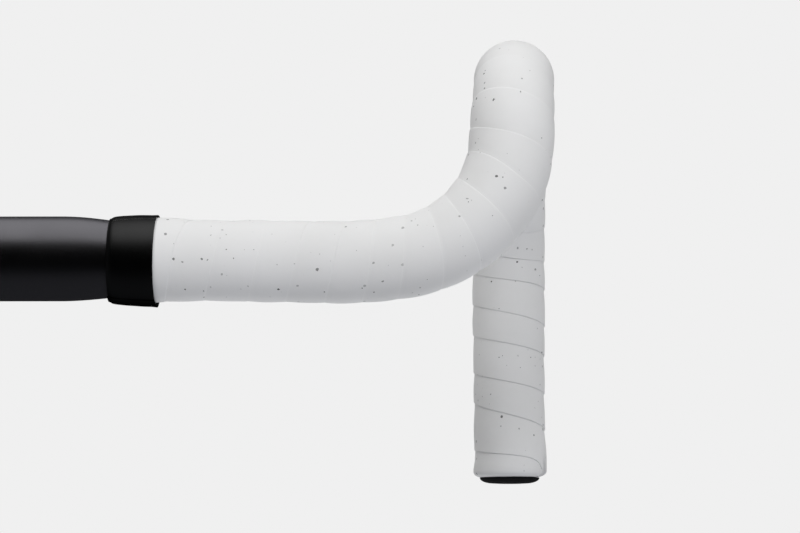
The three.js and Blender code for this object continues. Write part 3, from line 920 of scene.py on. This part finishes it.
def screw_rings(angles):
    """The screw's outline from its socket's floor round to its tip, as rings of (radius, distance)."""
    base = RECESS_FLOOR + SCREW_HEAD_LIFT
    top = base + SCREW_HEAD_HEIGHT
    hexagon = SOCKET_HALF / np.cos((angles + TURN / 12) % (TURN / 6) - TURN / 12)
    corner = SCREW_HEAD_ROUNDING
    rings = [
        (SCREW_AXIS_HOLE, top - SOCKET_DEPTH - 0.3 * MM),
        (hexagon, top - SOCKET_DEPTH),
        (hexagon, top - 0.12 * MM),
        (hexagon + 0.12 * MM, top),
        (SCREW_HEAD_RADIUS - corner, top),
    ]
    for t in np.linspace(0.25, 1, 4):
        out, along = math.sin(t * math.pi / 2), math.cos(t * math.pi / 2)
        rings.append((SCREW_HEAD_RADIUS - corner + corner * out, top - corner + corner * along))
    rings += [
        (SCREW_HEAD_RADIUS, base + 0.1 * MM),
        (SCREW_HEAD_RADIUS - 0.1 * MM, base),
        (SCREW_RADIUS + 0.05 * MM, base),
        (SCREW_RADIUS, base - 0.3 * MM),
        (SCREW_RADIUS, base - SCREW_SHANK),
    ]
    step = THREAD_PITCH / THREAD_RINGS
    for z in np.arange(base - SCREW_SHANK - step, SCREW_TIP + 0.5 * MM, -step):
        phase = (z / THREAD_PITCH + angles / TURN) % 1.0
        rings.append((SCREW_RADIUS - THREAD_DEPTH * np.abs(2 * phase - 1), z))
    rings += [(SCREW_RADIUS - 0.6 * MM, SCREW_TIP), (SCREW_AXIS_HOLE, SCREW_TIP)]
    return rings


def build_screw(name, matrix, material):
    """A socket-head screw with a real thread."""
    angles = np.arange(SCREW_SIDES) * TURN / SCREW_SIDES
    rings = screw_rings(angles)
    points = np.concatenate([
        np.stack(np.broadcast_arrays(r * np.cos(angles), r * np.sin(angles), z), -1) for r, z in rings
    ])
    screw = mesh_object("screw_" + name, points, swept_faces(len(rings), SCREW_SIDES), sharp=30)
    place(screw, matrix)
    dress(screw, "screw_" + name, "plug_screw_" + name, material)


# ---- Camera, floor and lights ----

CAMERA_ELEVATION = math.radians(74)
CAMERA_DISTANCE = 0.95
CAMERA_ROLL = math.radians(-0.06)
AIM_X = 170.4 * MM
AIM_UP = -2.81 * MM
LENS = 114.14
SENSOR_WIDTH = 36.0
BACKDROP = 0.871  # the pale grey of floor and background
FLOOR_DROP = 0.45  # the bar floats this high above the floor
FLOOR_RADIUS = 12.0


def build_camera():
    """Looks steeply down from above the rear, aimed by distances to its own right and up."""
    data = bpy.data.cameras.new("camera")
    camera = bpy.data.objects.new("camera", data)
    bpy.context.scene.collection.objects.link(camera)
    back = Vector((0, -math.cos(CAMERA_ELEVATION), math.sin(CAMERA_ELEVATION)))
    level_right = Vector((1, 0, 0))
    level_up = back.cross(level_right)
    right = level_right * math.cos(CAMERA_ROLL) + level_up * math.sin(CAMERA_ROLL)
    up = level_up * math.cos(CAMERA_ROLL) - level_right * math.sin(CAMERA_ROLL)
    turned = Matrix((right, up, back)).transposed().to_4x4()
    location = right * AIM_X + up * AIM_UP + back * CAMERA_DISTANCE
    camera.matrix_world = Matrix.Translation(location) @ turned
    data.lens, data.sensor_width = LENS, SENSOR_WIDTH
    data.clip_start, data.clip_end = 0.01, 50.0
    bpy.context.scene.camera = camera


def build_floor(low):
    """A plain pale floor that glows evenly, so it has no shadows and no horizon."""
    work = bmesh.new()
    bmesh.ops.create_circle(work, cap_ends=True, radius=FLOOR_RADIUS, segments=96)
    mesh = bpy.data.meshes.new("floor")
    work.to_mesh(mesh)
    work.free()
    floor = bpy.data.objects.new("floor", mesh)
    floor.location.z = low.z - FLOOR_DROP
    bpy.context.scene.collection.objects.link(floor)
    material = bpy.data.materials.new("floor")
    material.use_nodes = True
    shader = material.node_tree.nodes["Principled BSDF"]
    shader.inputs["Base Color"].default_value = grey(0.0)
    shader.inputs["Roughness"].default_value = 1.0
    shader.inputs["Specular IOR Level"].default_value = 0.0
    shader.inputs["Emission Color"].default_value = grey(BACKDROP)
    shader.inputs["Emission Strength"].default_value = 1.0
    mesh.materials.append(material)
    floor.visible_glossy = False


LIGHT_AIM = Vector((0.12, 0.0, -0.05))
LIGHT_DISTANCE = 2.2
KEY_SIZE = (1.1, 1.1)
ROOM_LIGHT = 0.042
ROOM_DIM_FROM = 0.3  # height of a direction, 1 being straight up, from which the room grows darker
ROOM_DARK_FROM = 0.75  # and from which it gives no light


def build_light(
    name, azimuth, elevation, size, power, colour=WHITE, distance=LIGHT_DISTANCE, reflected=False,
):
    """A softbox that shines at the bar's right half, with its azimuth from the front towards the right."""
    azimuth, elevation = math.radians(azimuth), math.radians(elevation)
    data = bpy.data.lights.new(name, "AREA")
    data.shape, data.size, data.size_y = "RECTANGLE", *size
    data.energy, data.color = power, colour
    light = bpy.data.objects.new(name, data)
    level = math.cos(elevation)
    out = Vector((math.sin(azimuth) * level, math.cos(azimuth) * level, math.sin(elevation)))
    light.location = LIGHT_AIM + out * distance
    light.rotation_mode = "QUATERNION"
    light.rotation_quaternion = (-out).to_track_quat("-Z", "Y")
    light.visible_glossy = reflected
    light.visible_camera = False
    bpy.context.scene.collection.objects.link(light)


def build_world():
    """Pale where the camera sees it, and a dim room for the light that reaches the bar."""
    world = bpy.data.worlds.new("studio")
    bpy.context.scene.world = world
    world.use_nodes = True
    nodes, links = world.node_tree.nodes, world.node_tree.links
    nodes.clear()
    seen = nodes.new("ShaderNodeBackground")
    seen.inputs["Color"].default_value = grey(BACKDROP)
    room = nodes.new("ShaderNodeBackground")
    room.inputs["Color"].default_value = grey(1.0, COOL)
    direction = nodes.new("ShaderNodeTexCoord")
    split = nodes.new("ShaderNodeSeparateXYZ")
    height = nodes.new("ShaderNodeMapRange")
    dimming = {"From Min": ROOM_DIM_FROM, "From Max": ROOM_DARK_FROM, "To Min": ROOM_LIGHT, "To Max": 0.0}
    for name, value in dimming.items():
        height.inputs[name].default_value = value
    links.new(direction.outputs["Generated"], split.inputs[0])
    links.new(split.outputs["Z"], height.inputs["Value"])
    links.new(height.outputs["Result"], room.inputs["Strength"])
    path = nodes.new("ShaderNodeLightPath")
    mixer = nodes.new("ShaderNodeMixShader")
    output = nodes.new("ShaderNodeOutputWorld")
    links.new(path.outputs["Is Camera Ray"], mixer.inputs[0])
    links.new(room.outputs[0], mixer.inputs[1])
    links.new(seen.outputs[0], mixer.inputs[2])
    links.new(mixer.outputs[0], output.inputs[0])


def build_lights():
    """Three keys above the front, two cool fills behind, and a softbox that the black parts reflect."""
    build_light("front_softbox", -6, 16, (0.75, 1.65), 2.5, distance=0.95, reflected=True)
    build_light("key_right", 45, 62, KEY_SIZE, 16.5)
    build_light("key_left", -40, 62, KEY_SIZE, 9.5)
    build_light("key_front", 0, 66, KEY_SIZE, 12.0)
    build_light("right_rear_fill", 135, 35, KEY_SIZE, 6.3, COOL)
    build_light("rear_fill", 180, 8, (1.3, 1.0), 5.6, COOL)


# ---- Assembly ----

build_camera()
tape_look = tape_material()
vinyl_look = vinyl_material()
cap_look = moulded_material("plug_plastic", 0.008, 0.32, 0.46)
expander_look = moulded_material("expander_plastic", 0.045, 0.45, 0.6, 800.0)
steel_look = steel_material()

build_tube(tube_material())
for side, name in ((1.0, "right"), (-1.0, "left")):
    build_tape(side, "tape_" + name, "bar_tape_" + name, tape_look)
    build_band(side, "band_" + name, "finishing_band_" + name, vinyl_look)
    axes = plug_frame(side)
    build_cap(name, axes, cap_look)
    build_sleeve(name, axes, expander_look)
    build_nut(name, axes, expander_look)
    build_screw(name, axes, steel_look)

build_floor(cad_box[0])
build_world()
build_lights()
bpy.context.scene.view_settings.view_transform = "Standard"
